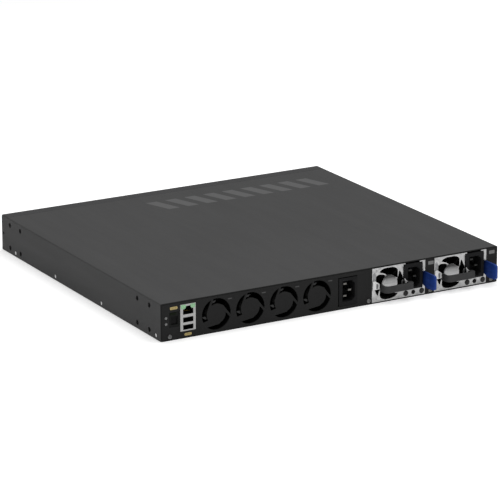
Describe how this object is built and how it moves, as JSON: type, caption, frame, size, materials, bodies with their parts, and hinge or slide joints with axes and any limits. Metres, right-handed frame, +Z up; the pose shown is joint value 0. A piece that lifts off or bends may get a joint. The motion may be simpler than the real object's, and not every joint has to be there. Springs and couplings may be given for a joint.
{
  "type": "rackmount network switch",
  "caption": "Low, wide rack enclosure for network switching, with a row of fans, removable power supplies with blue release levers, rear service sockets and network jacks on its port side.",
  "frame": {"origin": "centre of the underside of the base", "axes": "+X to the right seen from the port side, +Y towards the fans and power supplies, +Z up"},
  "size_m": [0.44, 0.4202, 0.0432],
  "materials": {
    "cover_paint": "fine satin powder coat",
    "panel_paint": "matt black paint",
    "pan_paint": "matt black paint",
    "bezel_paint": "satin powder coat",
    "zinc": "zinc plate",
    "screw_metal": "bright plated",
    "dark_screw": "black oxide",
    "port_metal": "nickel plate",
    "psu_steel": "galvanised",
    "psu_handle": "matt",
    "latch_blue": "satin",
    "inlet_plastic": "matt",
    "pin_metal": "tin plate",
    "fan_plastic": "matt",
    "fan_rotor": "satin",
    "jack_plastic": "satin",
    "insert_plastic": "matt",
    "light_pipe": "milky",
    "psu_led": "gloss",
    "board": "solder mask",
    "heatsink": "anodised",
    "socket_plastic": "matt",
    "button_plastic": "satin",
    "filter_metal": "tin plate"
  },
  "bodies": {
    "chassis": {"top_cover": "cover_paint", "base_pan": "pan_paint", "rear_panel": "panel_paint", "front_bezel": "bezel_paint", "psu_cage": "zinc", "cover_screws_left": "screw_metal", "cover_screws_right": "screw_metal", "rear_led_pipe": "light_pipe", "console_jack": "jack_plastic", "stack_port_shell": "port_metal", "stack_port_insert": "insert_plastic", "ac_inlet_housing": "inlet_plastic", "ac_inlet_pins": "pin_metal", "ac_filter_can": "filter_metal", "rear_screw_1": "screw_metal", "rear_screw_2": "screw_metal", "rear_screw_3": "screw_metal", "rear_screw_4": "screw_metal", "fan_frame_1": "fan_plastic", "fan_frame_2": "fan_plastic", "fan_frame_3": "fan_plastic", "fan_frame_4": "fan_plastic", "midplane_board": "board", "midplane_socket_1": "socket_plastic", "midplane_socket_2": "socket_plastic", "main_board": "board", "switch_heatsink": "heatsink", "cpu_heatsink": "heatsink", "port_block_1": "port_metal", "port_block_2": "port_metal", "sfp_cage": "port_metal", "front_led_pipe": "light_pipe"},
    "fan_1": {"fan_rotor_1": "fan_rotor"},
    "fan_2": {"fan_rotor_2": "fan_rotor"},
    "fan_3": {"fan_rotor_3": "fan_rotor"},
    "fan_4": {"fan_rotor_4": "fan_rotor"},
    "psu_1": {"psu_1_case": "psu_steel", "psu_1_handle": "psu_handle", "psu_1_inlet": "inlet_plastic", "psu_1_pins": "pin_metal", "psu_1_fan_frame": "fan_plastic", "psu_1_board": "board", "psu_1_heatsink": "heatsink", "psu_1_screws": "dark_screw", "psu_1_led": "psu_led"},
    "psu_1_release": {"psu_1_latch": "latch_blue"},
    "psu_1_fan": {"psu_1_fan_rotor": "fan_rotor"},
    "psu_2": {"psu_2_case": "psu_steel", "psu_2_handle": "psu_handle", "psu_2_inlet": "inlet_plastic", "psu_2_pins": "pin_metal", "psu_2_fan_frame": "fan_plastic", "psu_2_board": "board", "psu_2_heatsink": "heatsink", "psu_2_screws": "dark_screw", "psu_2_led": "psu_led"},
    "psu_2_release": {"psu_2_latch": "latch_blue"},
    "psu_2_fan": {"psu_2_fan_rotor": "fan_rotor"},
    "button": {"mode_button": "button_plastic"}
  },
  "joints": [
    {"name": "fan_1_spin", "type": "hinge", "parent": "chassis", "child": "fan_1", "pos_m": [0.1508, 0.1846, 0.0212], "axis": [0, 1, 0], "continuous": true},
    {"name": "fan_2_spin", "type": "hinge", "parent": "chassis", "child": "fan_2", "pos_m": [0.1079, 0.1846, 0.0212], "axis": [0, 1, 0], "continuous": true},
    {"name": "fan_3_spin", "type": "hinge", "parent": "chassis", "child": "fan_3", "pos_m": [0.065, 0.1846, 0.0212], "axis": [0, 1, 0], "continuous": true},
    {"name": "fan_4_spin", "type": "hinge", "parent": "chassis", "child": "fan_4", "pos_m": [0.0221, 0.1846, 0.0212], "axis": [0, 1, 0], "continuous": true},
    {"name": "psu_1_slide", "type": "slide", "parent": "chassis", "child": "psu_1", "axis": [0, 1, 0], "range_m": [0, 0.188]},
    {"name": "psu_1_fan_spin", "type": "hinge", "parent": "psu_1", "child": "psu_1_fan", "pos_m": [-0.073, 0.1834, 0.0215], "axis": [0, 1, 0], "continuous": true},
    {"name": "psu_1_latch_press", "type": "hinge", "parent": "psu_1", "child": "psu_1_release", "pos_m": [-0.1196, 0.2, 0.02055], "axis": [0, 0, -1], "range_deg": [0, 7], "stiffness_Nm_per_rad": 1.2, "springref_deg": -4.58},
    {"name": "psu_2_slide", "type": "slide", "parent": "chassis", "child": "psu_2", "axis": [0, 1, 0], "range_m": [0, 0.188]},
    {"name": "psu_2_fan_spin", "type": "hinge", "parent": "psu_2", "child": "psu_2_fan", "pos_m": [-0.1566, 0.1834, 0.0215], "axis": [0, 1, 0], "continuous": true},
    {"name": "psu_2_latch_press", "type": "hinge", "parent": "psu_2", "child": "psu_2_release", "pos_m": [-0.2032, 0.2, 0.02055], "axis": [0, 0, -1], "range_deg": [0, 7], "stiffness_Nm_per_rad": 1.2, "springref_deg": -4.58},
    {"name": "mode_button_press", "type": "slide", "parent": "chassis", "child": "button", "axis": [0, 1, 0], "range_m": [0, 0.0008], "stiffness_N_per_m": 1200, "springref_m": -0.0006}
  ]
}
